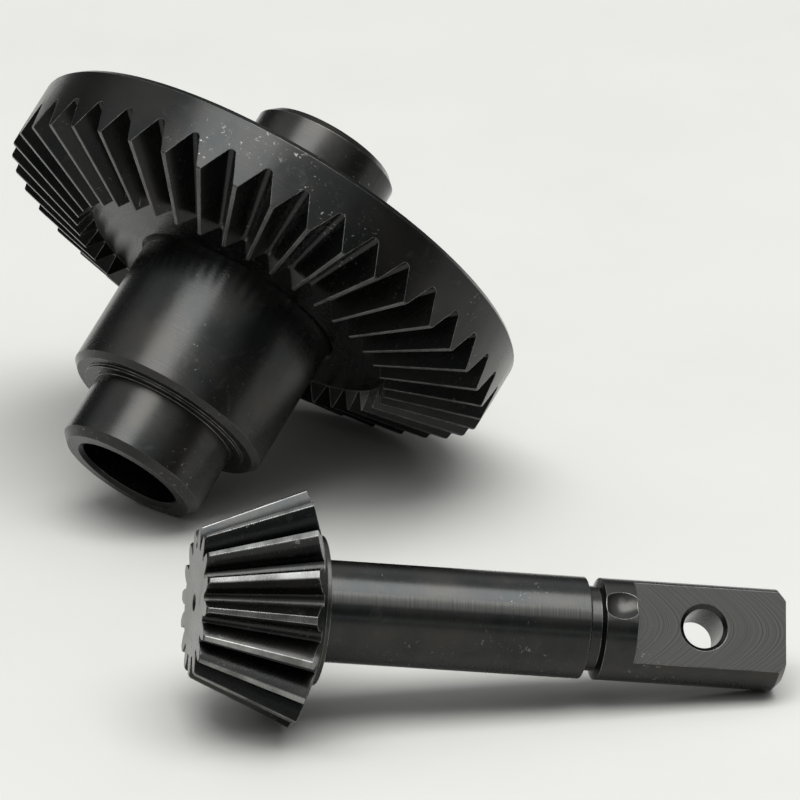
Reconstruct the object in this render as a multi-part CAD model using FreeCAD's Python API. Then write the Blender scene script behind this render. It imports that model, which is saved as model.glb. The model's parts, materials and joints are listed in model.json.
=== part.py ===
import FreeCAD, Part
import math
import os

# Straight bevel gear pair: a crown wheel pressed on a hollow spool, and a pinion cut on its own shaft.
# Millimetres, +Z up. Both gears lie loose on the plane z = 0, the pinion in front, towards -Y.
# Each gear is drawn about its own axis first: local z is that axis, and local z = 0 is its pitch
# apex, where the two axes would meet at a right angle when the pair runs in mesh.

vec = FreeCAD.Vector
AXIS = vec(0, 0, 1)
ORIGIN = vec(0, 0, 0)

# ---- Tooth system -------------------------------------------------------------------------------
module = 0.67
ring_teeth = 41
pinion_teeth = 16
pressure_angle = math.radians(28)
ring_addendum = 1.3 * module
pinion_addendum = 0.7 * module
tip_clearance = 0.3 * module
ring_crest_width = 0.15
mesh_backlash = 0.14
root_rise = 0.08

ring_pitch_angle = math.atan2(ring_teeth, pinion_teeth)
pinion_pitch_angle = math.atan2(pinion_teeth, ring_teeth)
cone_distance = 0.5 * module * math.hypot(ring_teeth, pinion_teeth)

# ---- Crown wheel --------------------------------------------------------------------------------
crown_radius = 14.05
toe_radius = 9.15
rim_height = 3.6
dish_outer_radius = 8.75
dish_outer_above_heel = 0.62
dish_radius = 5.7
dish_above_heel = 0.85
seat_radius = 5.5
seat_chamfer = 0.12
rim_chamfer = 0.25
crest_chamfer = 0.05

# ---- Spool: stations are measured from the crown wheel's heel crest plane ------------------------
hub_front = 8.3
hub_chamfer = 0.3
shoulder_radius = 4.65
shoulder_step = 0.15
journal_radius = 4.0
journal_front = 12.05
journal_chamfer = 0.4
bore_radius = 2.75
bore_chamfer = 0.2
seat_overhang = 0.4
journal_rear = 8.65

# ---- Pinion: stations are measured from the shoulder of the snap ring groove ---------------------
heel_to_groove = 14.95
face_length = 5.05
toe_chamfer = 0.1
back_radius = 3.65
collar_length = 0.2
shaft_fillet = 0.15
shaft_radius = 2.5
groove_width = 0.8
groove_depth = 0.42
groove_wall = 0.16
flat_start = 1.55
drive_end = 9.2
end_chamfer = 0.35
across_flats = 2.9
cross_hole_radius = 1.0
cross_hole_chamfer = 0.2
cross_hole_station = 5.08
centre_radius = 0.45
centre_depth = 0.35
spot_station = 0.78
spot_radius = 0.75
spot_depth = 0.2

# ---- Where each gear lies: direction of its axis, spin about it, and a point in plan -------------
ring_yaw = math.radians(229.0)
ring_spin = math.radians(0.41)
ring_plan = vec(-7.98, -10.14, 0)
pinion_yaw = math.radians(8.84)
pinion_spin = math.radians(4.7)
pinion_plan = vec(9.6, -38.41, 0)
flat_angle = math.radians(141.0)
spot_angle = math.radians(127.0)


def polar(radius, angle):
    return vec(radius * math.cos(angle), radius * math.sin(angle), 0)


def revolve(profile):
    """Turn an outline of (radius, station) corners into a solid of revolution about local z."""
    corners = [vec(r, 0, z) for r, z in profile]
    wire = Part.makePolygon(corners + [corners[0]])
    return Part.Face(wire).revolve(ORIGIN, AXIS, 360)


def involute(angle):
    return math.tan(angle) - angle


def straight_flank(half_width, height, depth):
    """Half of a rack-like space: the flank runs from above the crest down to the root."""
    above = 0.4
    slope = math.tan(pressure_angle)
    top = vec(half_width + above * slope, height + above, 0)
    low = vec(half_width - (height + depth - root_rise) * slope, root_rise - depth, 0)
    return [top, low]


def involute_flank(teeth, pitch_angle, thickness, height, depth):
    """Half of a space between involute teeth, drawn on the developed back cone."""
    virtual_radius = 0.5 * module * teeth / math.cos(pitch_angle)
    virtual_teeth = teeth / math.cos(pitch_angle)
    base_radius = virtual_radius * math.cos(pressure_angle)
    high = virtual_radius + height + 0.4
    low = virtual_radius - depth + root_rise
    points = []
    steps = 6
    for i in range(steps + 1):
        radius = high + (low - high) * i / steps
        local = math.acos(min(1.0, base_radius / radius))
        tooth = 0.5 * thickness / virtual_radius + involute(pressure_angle) - involute(local)
        half_space = math.pi / virtual_teeth - tooth
        points.append(vec(radius * math.sin(half_space), radius * math.cos(half_space) - virtual_radius, 0))
    return points


def space_wire(flank, depth, pitch_angle, side, scale):
    """The outline of one tooth space, placed square to the pitch cone at scale * cone distance."""
    along = vec(math.sin(pitch_angle), 0, side * math.cos(pitch_angle))
    outward = vec(math.cos(pitch_angle), 0, -side * math.sin(pitch_angle))
    across = vec(0, 1, 0)

    def place(point, mirror=1):
        local = along * cone_distance + outward * point.y + across * (mirror * point.x)
        return local * scale

    def edge(points):
        if len(points) == 2:
            return Part.makeLine(points[0], points[1])
        curve = Part.BSplineCurve()
        curve.interpolate(points)
        return curve.toShape()

    right = [place(p) for p in flank]
    left = [place(p, -1) for p in reversed(flank)]
    bottom = place(vec(0, -depth, 0))
    root = Part.Arc(right[-1], bottom, left[0]).toShape()
    top = Part.makeLine(left[-1], right[0])
    return Part.Wire([edge(right), root, edge(left), top])


def tooth_spaces(flank, depth, pitch_angle, side, teeth, inner, outer):
    """All the spaces of one gear, as separate cutters that taper towards the apex."""
    wires = [space_wire(flank, depth, pitch_angle, side, s) for s in (inner, outer)]
    cutter = Part.makeLoft(wires, True, True)
    step = 360.0 / teeth
    spaces = []
    for i in range(teeth):
        space = cutter.copy()
        space.rotate(ORIGIN, AXIS, (i + 0.5) * step)
        spaces.append(space)
    return spaces


def crown_section():
    """Stations of the crown wheel along its axis."""
    face_angle = ring_pitch_angle + math.atan2(ring_addendum, cone_distance)
    heel = -crown_radius / math.tan(face_angle)
    toe = -toe_radius / math.tan(face_angle)
    return heel, toe, heel + dish_above_heel, heel - rim_height


def make_crown_wheel():
    heel, toe, dish, back = crown_section()
    crest = (toe - heel) / (crown_radius - toe_radius)
    blank = revolve([
        (seat_radius, back + seat_chamfer),
        (seat_radius + seat_chamfer, back),
        (crown_radius - rim_chamfer, back),
        (crown_radius, back + rim_chamfer),
        (crown_radius, heel - crest_chamfer),
        (crown_radius - crest_chamfer, heel + crest_chamfer * crest),
        (toe_radius, toe),
        (dish_outer_radius, heel + dish_outer_above_heel),
        (dish_radius, dish),
        (seat_radius, dish - seat_chamfer),
    ])
    depth = pinion_addendum + tip_clearance
    pitch = math.pi * module
    half_space = 0.5 * (pitch - ring_crest_width)
    flank = straight_flank(half_space, ring_addendum, depth)
    spaces = tooth_spaces(flank, depth, ring_pitch_angle, -1, ring_teeth, 0.4, 1.12)
    return blank.cut(spaces)


def make_spool():
    heel, toe, dish, back = crown_section()
    front = heel + hub_front
    nose = heel + journal_front
    tail = heel - journal_rear
    seat_end = back - seat_overhang
    return revolve([
        (bore_radius, tail + bore_chamfer),
        (bore_radius + bore_chamfer, tail),
        (journal_radius - journal_chamfer, tail),
        (journal_radius, tail + journal_chamfer),
        (journal_radius, seat_end - shoulder_step),
        (shoulder_radius, seat_end - shoulder_step),
        (shoulder_radius, seat_end),
        (seat_radius - seat_chamfer, seat_end),
        (seat_radius, seat_end + seat_chamfer),
        (seat_radius, front - hub_chamfer),
        (seat_radius - hub_chamfer, front),
        (shoulder_radius, front),
        (shoulder_radius, front + shoulder_step),
        (journal_radius, front + shoulder_step),
        (journal_radius, nose - journal_chamfer),
        (journal_radius - journal_chamfer, nose),
        (bore_radius + bore_chamfer, nose),
        (bore_radius, nose - bore_chamfer),
    ])


def pinion_section():
    """Crest stations of the pinion along its axis, and the station of the groove's shoulder."""
    addendum_angle = math.atan2(pinion_addendum, cone_distance)
    face_angle = pinion_pitch_angle + addendum_angle
    tip_distance = math.hypot(cone_distance, pinion_addendum)
    heel = tip_distance * math.cos(face_angle)
    toe = heel - face_length
    return heel, toe, math.tan(face_angle), heel + heel_to_groove


def make_pinion():
    heel, toe, taper, shoulder = pinion_section()
    heel_radius = heel * taper
    toe_crest = toe * taper
    back = heel + (heel_radius - back_radius) * math.tan(pinion_pitch_angle)
    end = shoulder + drive_end
    groove_floor = shaft_radius - groove_depth
    blank = revolve([
        (0, toe),
        (toe_crest - toe_chamfer, toe),
        (toe_crest + toe_chamfer * taper, toe + toe_chamfer),
        (heel_radius, heel),
        (back_radius, back),
        (back_radius, back + collar_length),
        (shaft_radius + shaft_fillet, back + collar_length),
        (shaft_radius, back + collar_length + shaft_fillet),
        (shaft_radius, shoulder - groove_width),
        (groove_floor, shoulder - groove_width + groove_wall),
        (groove_floor, shoulder - groove_wall),
        (shaft_radius, shoulder),
        (shaft_radius, end - end_chamfer),
        (shaft_radius - end_chamfer, end),
        (0, end),
    ])
    depth = ring_addendum + tip_clearance
    ring_thickness = ring_crest_width + 2 * ring_addendum * math.tan(pressure_angle)
    thickness = math.pi * module - ring_thickness - mesh_backlash
    flank = involute_flank(pinion_teeth, pinion_pitch_angle, thickness, pinion_addendum, depth)
    cuts = tooth_spaces(flank, depth, pinion_pitch_angle, 1, pinion_teeth, 0.5, 1.12)
    for i in range(pinion_teeth):
        cuts[i].rotate(ORIGIN, AXIS, math.degrees(pinion_spin))
    cuts += drive_cuts(shoulder, end)
    cuts.append(Part.makeCone(centre_radius, 0, centre_depth, vec(0, 0, toe), AXIS))
    return blank.cut(cuts)


def drive_cuts(shoulder, end):
    """The two milled flats, the cross hole square to them, and the locating spot."""
    normal = polar(1, flat_angle)
    margin = 1.0
    width = 2 * (shaft_radius + margin)
    length = end - shoulder - flat_start + margin
    cuts = []
    for turn in (0, 180):
        slab = Part.makeBox(margin + shaft_radius, width, length, vec(0.5 * across_flats, -0.5 * width, 0))
        slab.translate(vec(0, 0, shoulder + flat_start))
        slab.rotate(ORIGIN, AXIS, math.degrees(flat_angle) + turn)
        cuts.append(slab)
    hole_at = vec(0, 0, shoulder + cross_hole_station)
    cuts.append(Part.makeCylinder(cross_hole_radius, width, hole_at - normal * (0.5 * width), normal))
    wide = cross_hole_radius + cross_hole_chamfer + margin
    for outward in (normal, -normal):
        mouth = hole_at + outward * (0.5 * across_flats + margin)
        cuts.append(Part.makeCone(wide, cross_hole_radius, cross_hole_chamfer + margin, mouth, -outward))
    ball = (spot_radius ** 2 + spot_depth ** 2) / (2 * spot_depth)
    reach = math.sqrt(shaft_radius ** 2 - spot_radius ** 2) - spot_depth + ball
    cuts.append(Part.makeSphere(ball, polar(reach, spot_angle) + vec(0, 0, shoulder + spot_station)))
    return cuts


def lay_down(shapes, yaw, spin, plan, station, high, low):
    """Lay a gear on z = 0 so that it rests on two circles, each given as (radius, station)."""
    tilt = math.atan2(high[0] - low[0], low[1] - high[1])
    axis = vec(math.cos(tilt) * math.cos(yaw), math.cos(tilt) * math.sin(yaw), -math.sin(tilt))
    level = AXIS.cross(axis).normalize()
    placement = FreeCAD.Placement(ORIGIN, FreeCAD.Rotation(level, axis.cross(level), axis, "ZXY"))
    for shape in shapes:
        shape.rotate(ORIGIN, AXIS, math.degrees(spin))
        shape.Placement = placement.multiply(shape.Placement)
        shape.translate(plan - vec(axis.x, axis.y, 0) * station)
    lowest = min(shape.optimalBoundingBox(False, False).ZMin for shape in shapes)
    for shape in shapes:
        shape.translate(vec(0, 0, -lowest))
    return axis


def build():
    crown = make_crown_wheel()
    spool = make_spool()
    pinion = make_pinion()
    heel = crown_section()[0]
    nose = heel + journal_front
    ring_axis = lay_down([crown, spool], ring_yaw, ring_spin, ring_plan, heel,
                         (crown_radius - crest_chamfer, heel), (journal_radius, nose - journal_chamfer))
    heel, toe, taper, shoulder = pinion_section()
    pinion_axis = lay_down([pinion], pinion_yaw, 0, pinion_plan, shoulder,
                           (heel * taper, heel), (shaft_radius, shoulder + drive_end - end_chamfer))
    nodes = {"crown_wheel": crown, "spool_hub": spool, "pinion_shaft": pinion}
    box = Part.makeCompound(list(nodes.values())).optimalBoundingBox(False, False)
    centre = vec(-box.Center.x, -box.Center.y, 0)
    os.makedirs("parts", exist_ok=True)
    for name, shape in nodes.items():
        shape.translate(centre)
        shape.exportStep(os.path.join("parts", name + ".step"))
        print(name, len(shape.Solids), "solid", shape.isValid(), round(shape.Volume, 2), "mm3")
    print("ring axis", ring_axis)
    print("pinion axis", pinion_axis)


build()
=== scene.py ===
import json
import math

import bpy
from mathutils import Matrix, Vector


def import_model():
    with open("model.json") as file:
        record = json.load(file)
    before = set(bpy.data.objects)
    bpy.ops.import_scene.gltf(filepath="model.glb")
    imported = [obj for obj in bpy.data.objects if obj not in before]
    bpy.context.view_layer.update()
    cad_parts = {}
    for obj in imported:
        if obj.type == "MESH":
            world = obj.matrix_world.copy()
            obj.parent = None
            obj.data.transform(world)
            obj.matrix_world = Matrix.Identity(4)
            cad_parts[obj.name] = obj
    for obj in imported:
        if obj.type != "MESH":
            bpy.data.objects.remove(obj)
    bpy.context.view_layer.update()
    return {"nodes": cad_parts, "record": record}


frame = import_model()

MOUNTS = {m["name"]: m for m in frame["record"]["mounts"]}
NODES = frame["nodes"]

# The crests of each gear's teeth lie on a cone. Factors of the distance from the axis and of the station
# along it from the gear's mount, then an offset in metres: their sum is zero on that cone, less inside it.
CROWN_CRESTS = (0.3237, 1.0, -0.002848)
PINION_CRESTS = (1.0, -0.427359, -0.0090743)
CROWN_WEAR = 0.22
PINION_WEAR = 0.75

ROUGHNESS = 0.27
EDGE_RADIUS = 0.00006
BUMP_HEIGHT = 0.000006

FLOOR_HALF = 3.0
SKY_HORIZON = 0.08
SKY_TOP = 0.92

CAMERA_PLACE = (0.000612, -0.395942, 0.17172)
CAMERA_TILT = 67.64
CAMERA_LENS = 381.4
CAMERA_SENSOR = 36.0


# ---- Node helpers ------------------------------------------------------------------------------
class Graph:
    """A material's node tree, with short calls to add nodes and link them."""

    def __init__(self, name):
        self.material = bpy.data.materials.new(name)
        self.material.use_nodes = True
        self.tree = self.material.node_tree
        self.tree.nodes.clear()

    def add(self, kind, inputs=None, **settings):
        node = self.tree.nodes.new(kind)
        for key, value in settings.items():
            setattr(node, key, value)
        for key, value in (inputs or {}).items():
            self.feed(node.inputs[key], value)
        return node

    def feed(self, socket, value):
        if isinstance(value, bpy.types.NodeSocket):
            self.tree.links.new(value, socket)
        elif isinstance(value, bpy.types.Node):
            self.tree.links.new(value.outputs[0], socket)
        else:
            socket.default_value = value

    def math(self, operation, a, b=0.0, clamp=False):
        return self.add("ShaderNodeMath", {0: a, 1: b}, operation=operation, use_clamp=clamp).outputs[0]

    def vector(self, operation, a, b=(0, 0, 0)):
        node = self.add("ShaderNodeVectorMath", {0: a, 1: b}, operation=operation)
        return node.outputs["Value" if operation in ("DOT_PRODUCT", "LENGTH") else "Vector"]

    def ramp(self, value, low, high, out_low=0.0, out_high=1.0):
        inputs = {"Value": value, "From Min": low, "From Max": high, "To Min": out_low, "To Max": out_high}
        return self.add("ShaderNodeMapRange", inputs, clamp=True).outputs["Result"]

    def noise(self, coords, scale, detail=3.0, rough=0.55, kind="3D", distortion=0.0):
        inputs = {"Scale": scale, "Detail": detail, "Roughness": rough, "Distortion": distortion}
        inputs["W" if kind == "1D" else "Vector"] = coords
        return self.add("ShaderNodeTexNoise", inputs, noise_dimensions=kind).outputs["Fac"]

    def mix(self, factor, a, b):
        node = self.add("ShaderNodeMix", {"Factor": factor}, data_type="RGBA")
        self.feed(node.inputs[6], a)
        self.feed(node.inputs[7], b)
        return node.outputs[2]


def rgb(r, g, b):
    return (r, g, b, 1.0)


# ---- Black oxide steel -------------------------------------------------------------------------
def black_oxide(name, point, axis, seed, tone=1.0, crests=None, wear=0.0, flat=None):
    """Blackened machined steel: lathe lines round the axis, worn light edges, dust and dried oil.

    crests is the cone of the tooth crests, and wear is how bright they are rubbed.
    flat is the normal of the milled flats, which are greyer and carry curved cutter marks."""
    g = Graph(name)
    axis = Vector(axis).normalized()
    coords = g.add("ShaderNodeTexCoord")
    place = coords.outputs["Object"]
    local = g.vector("SUBTRACT", place, tuple(point))
    station = g.vector("DOT_PRODUCT", local, tuple(axis))
    along = g.add("ShaderNodeVectorMath", {0: tuple(axis)}, operation="SCALE")
    g.feed(along.inputs["Scale"], station)
    radial = g.vector("SUBTRACT", local, along.outputs["Vector"])
    radius = g.vector("LENGTH", radial)

    lines = g.noise(g.math("ADD", g.math("MULTIPLY", station, 9000.0), g.math("MULTIPLY", radius, 7000.0)),
                    1.0, 2.0, 0.7, "1D")
    shifted = g.vector("ADD", place, (seed, seed * 0.7, -seed))
    grain = g.noise(shifted, 9000.0, 2.0, 0.6)
    cloud = g.noise(shifted, 260.0, 4.0, 0.6)
    stain = g.noise(shifted, 900.0, 5.0, 0.65, distortion=0.6)

    bevel = g.add("ShaderNodeBevel", {"Radius": EDGE_RADIUS}, samples=8).outputs["Normal"]
    geometry = g.add("ShaderNodeNewGeometry")
    sharp = g.vector("DOT_PRODUCT", bevel, geometry.outputs["Normal"])
    edge = g.ramp(sharp, 0.995, 0.80)
    worn = g.math("MULTIPLY", edge, g.ramp(g.noise(shifted, 1500.0, 3.0), 0.35, 0.62, 0.25, 1.0))
    if crests is not None:
        of_radius, of_station, offset = crests
        cone = g.math("ADD", g.math("MULTIPLY", radius, of_radius), g.math("MULTIPLY", station, of_station))
        crest = g.ramp(g.math("ADD", cone, offset), -0.00006, -0.00001, 0.0, wear)
        crest = g.math("MULTIPLY", crest, g.ramp(g.noise(shifted, 700.0, 3.0), 0.34, 0.6, 0.35, 1.0))
        worn = g.math("MAXIMUM", worn, crest)

    dust_noise = g.noise(shifted, 4300.0, 3.0, 0.6, distortion=0.8)
    dust_where = g.ramp(g.noise(shifted, 240.0, 2.0), 0.52, 0.70)
    dust = g.math("MULTIPLY", g.ramp(dust_noise, 0.64, 0.74), dust_where)

    dark = rgb(0.016 * tone, 0.018 * tone, 0.018 * tone)
    brown = rgb(0.033 * tone, 0.031 * tone, 0.028 * tone)
    colour = g.mix(g.ramp(cloud, 0.38, 0.66), dark, brown)
    colour = g.mix(g.math("MULTIPLY", g.ramp(stain, 0.60, 0.74), 0.35), colour, rgb(0.07, 0.07, 0.066))
    milled = None
    if flat is not None:
        facing = g.math("ABSOLUTE", g.vector("DOT_PRODUCT", coords.outputs["Normal"], tuple(flat)))
        milled = g.ramp(facing, 0.990, 0.997)
        swirl = g.math("MULTIPLY", radius, 15000.0)
        marks = g.noise(g.math("ADD", swirl, g.math("MULTIPLY", station, 9000.0)), 1.0, 2.0, 0.7, "1D")
        grey = g.mix(g.ramp(marks, 0.3, 0.7), rgb(0.033, 0.034, 0.032), rgb(0.062, 0.060, 0.056))
        colour = g.mix(milled, colour, grey)
    colour = g.mix(g.math("MULTIPLY", worn, 0.85), colour, rgb(0.42, 0.42, 0.41))
    colour = g.mix(g.math("MULTIPLY", dust, 0.8), colour, rgb(0.45, 0.44, 0.42))

    gloss = g.ramp(cloud, 0.3, 0.7, ROUGHNESS - 0.05, ROUGHNESS + 0.06)
    gloss = g.math("ADD", gloss, g.math("MULTIPLY", g.math("SUBTRACT", lines, 0.5), 0.10))
    gloss = g.math("ADD", gloss, g.math("MULTIPLY", g.ramp(stain, 0.58, 0.75), 0.10))
    if milled is not None:
        gloss = g.math("ADD", gloss, g.math("MULTIPLY", milled, 0.12))
    gloss = g.math("ADD", gloss, g.math("MULTIPLY", dust, 0.3), clamp=True)

    height = g.math("ADD", g.math("MULTIPLY", lines, 0.7), g.math("MULTIPLY", grain, 0.5))
    bump = g.add("ShaderNodeBump",
                 {"Strength": 0.28, "Distance": BUMP_HEIGHT, "Height": height, "Normal": bevel})

    shader = g.add("ShaderNodeBsdfPrincipled", {"Base Color": colour, "Roughness": gloss, "Normal": bump})
    shader.inputs["Metallic"].default_value = 0.9
    shader.inputs["Coat Weight"].default_value = 0.25
    shader.inputs["Coat Roughness"].default_value = 0.22
    g.add("ShaderNodeOutputMaterial", {"Surface": shader.outputs[0]})
    return g.material


def give(node, material):
    obj = NODES[node]
    obj.data.materials.clear()
    obj.data.materials.append(material)


ring_point, ring_axis = MOUNTS["through_bore"]["pos_m"], MOUNTS["through_bore"]["axis"]
pinion_point, pinion_axis = MOUNTS["pinion_seat"]["pos_m"], MOUNTS["pinion_seat"]["axis"]
flat_normal = MOUNTS["drive_flat"]["axis"]
# The crown wheel's oxide is darkened to tone 0.7 as painted shade: a darker copy of the spool hub's oxide
# that stands in for its tooth flanks, which are dark from reflecting the shadowed floor.
give("crown_wheel", black_oxide("crown_wheel_oxide", ring_point, ring_axis, 0.31, tone=0.7,
                                crests=CROWN_CRESTS, wear=CROWN_WEAR))
give("spool_hub", black_oxide("spool_hub_oxide", ring_point, ring_axis, 0.47))
give("pinion_shaft", black_oxide("pinion_shaft_oxide", pinion_point, pinion_axis, 0.13,
                                 crests=PINION_CRESTS, wear=PINION_WEAR, flat=flat_normal))


# ---- Floor, light and camera -------------------------------------------------------------------
def floor():
    g = Graph("floor_pale")
    place = g.add("ShaderNodeTexCoord").outputs["Object"]
    mottle = g.ramp(g.noise(place, 60.0, 4.0), 0.3, 0.7)
    colour = g.mix(mottle, rgb(0.495, 0.492, 0.472), rgb(0.515, 0.512, 0.491))
    shader = g.add("ShaderNodeBsdfPrincipled", {"Base Color": colour, "Roughness": 0.75})
    shader.inputs["Specular IOR Level"].default_value = 0.2
    g.add("ShaderNodeOutputMaterial", {"Surface": shader.outputs[0]})
    mesh = bpy.data.meshes.new("floor")
    s = FLOOR_HALF
    mesh.from_pydata([(-s, -s, 0), (s, -s, 0), (s, s, 0), (-s, s, 0)], [], [(0, 1, 2, 3)])
    mesh.materials.append(g.material)
    obj = bpy.data.objects.new("floor", mesh)
    bpy.context.scene.collection.objects.link(obj)


def softbox(name, place, size, watts, colour=(1, 1, 1)):
    """A rectangular area light at place, turned to face the gears at the origin."""
    light = bpy.data.lights.new(name, "AREA")
    light.shape = "RECTANGLE"
    light.size, light.size_y = size
    light.energy = watts
    light.color = colour
    obj = bpy.data.objects.new(name, light)
    obj.location = place
    obj.rotation_euler = (-Vector(place)).to_track_quat("-Z", "Y").to_euler()
    bpy.context.scene.collection.objects.link(obj)


def world(low, high):
    """A pale tent: dim near the horizon, brighter overhead."""
    sky = bpy.data.worlds.new("studio")
    sky.use_nodes = True
    tree = sky.node_tree
    back = tree.nodes["Background"]
    back.inputs["Color"].default_value = (0.97, 1.0, 0.99, 1)
    direction = tree.nodes.new("ShaderNodeTexCoord")
    split = tree.nodes.new("ShaderNodeSeparateXYZ")
    fade = tree.nodes.new("ShaderNodeMapRange")
    fade.interpolation_type = "SMOOTHSTEP"
    for key, value in (("From Min", 0.35), ("From Max", 0.75), ("To Min", low), ("To Max", high)):
        fade.inputs[key].default_value = value
    tree.links.new(direction.outputs["Generated"], split.inputs[0])
    tree.links.new(split.outputs["Z"], fade.inputs["Value"])
    tree.links.new(fade.outputs[0], back.inputs["Strength"])
    bpy.context.scene.world = sky


floor()
softbox("overhead", (0.06, -0.17, 0.90), (1.00, 0.60), 11.3)
softbox("front strip", (0.42, -1.08, 0.20), (0.90, 0.06), 0.35, (0.85, 1.0, 0.97))
world(SKY_HORIZON, SKY_TOP)

camera = bpy.data.cameras.new("camera")
camera.sensor_width = CAMERA_SENSOR
camera.lens = CAMERA_LENS
camera.clip_end = 50.0
view = bpy.data.objects.new("camera", camera)
view.location = CAMERA_PLACE
view.rotation_euler = (math.radians(CAMERA_TILT), 0, 0)
bpy.context.scene.collection.objects.link(view)
bpy.context.scene.camera = view
bpy.context.scene.view_settings.view_transform = "Standard"
